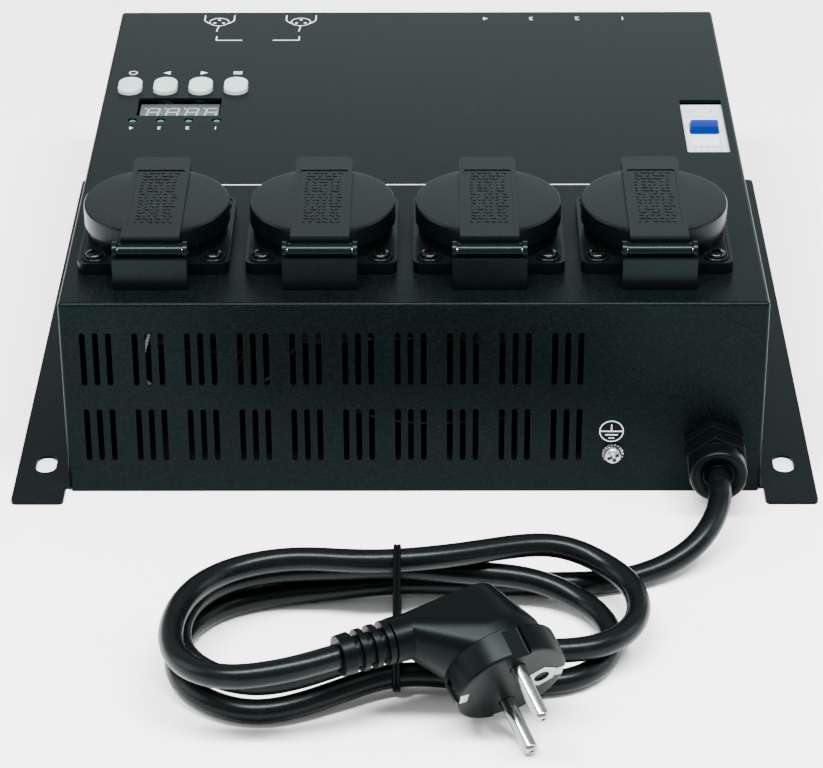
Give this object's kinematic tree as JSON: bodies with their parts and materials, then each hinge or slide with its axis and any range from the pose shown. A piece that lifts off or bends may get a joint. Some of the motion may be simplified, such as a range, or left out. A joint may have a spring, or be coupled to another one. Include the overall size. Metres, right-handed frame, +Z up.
{
  "type": "dimmer pack",
  "caption": "Flat steel dimmer pack with lidded panel sockets, keys, a display, a breaker, rear control connectors and fuses, and a mains lead tied in a hank.",
  "frame": {"origin": "middle of the footprint of the housing with its fittings, on the surface it stands on, cord left out", "axes": "+X to the right seen from the front, +Y from the front with the mains lead towards the rear, +Z up"},
  "size_m": [0.279, 0.4243, 0.0908],
  "materials": {
    "powder_coat": "fine textured charcoal powder coat",
    "zinc_steel": "zinc plated sheet",
    "socket_plastic": "satin dark grey thermoplastic",
    "key_plastic": "light grey matt keys",
    "nickel": "nickel plated",
    "black_screw": "black zinc plated",
    "circuit_board": "green solder mask",
    "display_face": "grey display face with pale segments",
    "lamp_green": "green tinted lamp lens",
    "breaker_white": "off-white moulding",
    "lever_blue": "blue lever",
    "gland_nylon": "black nylon",
    "cord_sheath": "black smooth sheath",
    "aluminium": "plain extruded",
    "transformer_core": "varnished core",
    "terminal_plastic": "ivory plastic"
  },
  "bodies": {
    "housing": {"cover": "powder_coat", "base_plate": "zinc_steel", "control_board": "circuit_board", "display_module": "display_face", "breaker_body": "breaker_white", "breaker_rail": "zinc_steel", "gland_body": "gland_nylon", "gland_nut": "gland_nylon", "gland_locknut": "gland_nylon", "earth_screw": "nickel", "xlr_male": "black_screw", "xlr_female": "black_screw", "power_board": "circuit_board", "heat_sink": "aluminium", "terminal_block": "terminal_plastic", "transformer": "transformer_core", "mains_lead": "cord_sheath", "cord_hank": "cord_sheath", "cord_tie": "cord_sheath", "plug_body": "cord_sheath", "plug_pin_1": "nickel", "plug_pin_2": "nickel", "socket_body_1": "socket_plastic", "lid_pin_1": "nickel", "socket_screw_1a": "black_screw", "socket_screw_1b": "black_screw", "channel_led_1": "lamp_green", "fuse_holder_1": "gland_nylon", "socket_body_2": "socket_plastic", "lid_pin_2": "nickel", "socket_screw_2a": "black_screw", "socket_screw_2b": "black_screw", "channel_led_2": "lamp_green", "fuse_holder_2": "gland_nylon", "socket_body_3": "socket_plastic", "lid_pin_3": "nickel", "socket_screw_3a": "black_screw", "socket_screw_3b": "black_screw", "channel_led_3": "lamp_green", "fuse_holder_3": "gland_nylon", "socket_body_4": "socket_plastic", "lid_pin_4": "nickel", "socket_screw_4a": "black_screw", "socket_screw_4b": "black_screw", "channel_led_4": "lamp_green", "fuse_holder_4": "gland_nylon"},
    "lid_1": {"socket_lid_1": "socket_plastic"},
    "lid_2": {"socket_lid_2": "socket_plastic"},
    "lid_3": {"socket_lid_3": "socket_plastic"},
    "lid_4": {"socket_lid_4": "socket_plastic"},
    "key_1": {"button_1": "key_plastic"},
    "key_2": {"button_2": "key_plastic"},
    "key_3": {"button_3": "key_plastic"},
    "key_4": {"button_4": "key_plastic"},
    "lever": {"breaker_lever": "lever_blue"},
    "fuse_1": {"fuse_cap_1": "gland_nylon"},
    "fuse_2": {"fuse_cap_2": "gland_nylon"},
    "fuse_3": {"fuse_cap_3": "gland_nylon"},
    "fuse_4": {"fuse_cap_4": "gland_nylon"},
    "latch": {"xlr_latch": "nickel"}
  },
  "joints": [
    {"name": "lid_1_hinge", "type": "hinge", "parent": "housing", "child": "lid_1", "pos_m": [-0.08925, -0.10555, 0.0862], "axis": [1, 0, 0], "range_deg": [0, 105], "stiffness_Nm_per_rad": 0.012, "springref_deg": -51.57},
    {"name": "lid_2_hinge", "type": "hinge", "parent": "housing", "child": "lid_2", "pos_m": [-0.03175, -0.10555, 0.0862], "axis": [1, 0, 0], "range_deg": [0, 105], "stiffness_Nm_per_rad": 0.012, "springref_deg": -51.57},
    {"name": "lid_3_hinge", "type": "hinge", "parent": "housing", "child": "lid_3", "pos_m": [0.02575, -0.10555, 0.0862], "axis": [1, 0, 0], "range_deg": [0, 105], "stiffness_Nm_per_rad": 0.012, "springref_deg": -51.57},
    {"name": "lid_4_hinge", "type": "hinge", "parent": "housing", "child": "lid_4", "pos_m": [0.08325, -0.10555, 0.0862], "axis": [1, 0, 0], "range_deg": [0, 105], "stiffness_Nm_per_rad": 0.012, "springref_deg": -51.57},
    {"name": "button_1_press", "type": "slide", "parent": "housing", "child": "key_1", "axis": [0, 0, -1], "range_m": [0, 0.0006], "stiffness_N_per_m": 600, "springref_m": -0.0006},
    {"name": "button_2_press", "type": "slide", "parent": "housing", "child": "key_2", "axis": [0, 0, -1], "range_m": [0, 0.0006], "stiffness_N_per_m": 600, "springref_m": -0.0006},
    {"name": "button_3_press", "type": "slide", "parent": "housing", "child": "key_3", "axis": [0, 0, -1], "range_m": [0, 0.0006], "stiffness_N_per_m": 600, "springref_m": -0.0006},
    {"name": "button_4_press", "type": "slide", "parent": "housing", "child": "key_4", "axis": [0, 0, -1], "range_m": [0, 0.0006], "stiffness_N_per_m": 600, "springref_m": -0.0006},
    {"name": "breaker_throw", "type": "hinge", "parent": "housing", "child": "lever", "pos_m": [0.10855, 0.01725, 0.0659], "axis": [1, 0, 0], "range_deg": [0, 70]},
    {"name": "fuse_cap_1_turn", "type": "hinge", "parent": "housing", "child": "fuse_1", "pos_m": [0.0277, 0.13425, 0.04], "axis": [0, 1, 0], "range_deg": [0, 90]},
    {"name": "fuse_cap_2_turn", "type": "hinge", "parent": "housing", "child": "fuse_2", "pos_m": [0.04625, 0.13425, 0.04], "axis": [0, 1, 0], "range_deg": [0, 90]},
    {"name": "fuse_cap_3_turn", "type": "hinge", "parent": "housing", "child": "fuse_3", "pos_m": [0.0648, 0.13425, 0.04], "axis": [0, 1, 0], "range_deg": [0, 90]},
    {"name": "fuse_cap_4_turn", "type": "hinge", "parent": "housing", "child": "fuse_4", "pos_m": [0.08335, 0.13425, 0.04], "axis": [0, 1, 0], "range_deg": [0, 90]},
    {"name": "latch_press", "type": "slide", "parent": "housing", "child": "latch", "axis": [0, 0, -1], "range_m": [0, 0.0012], "stiffness_N_per_m": 500, "springref_m": -0.001}
  ]
}
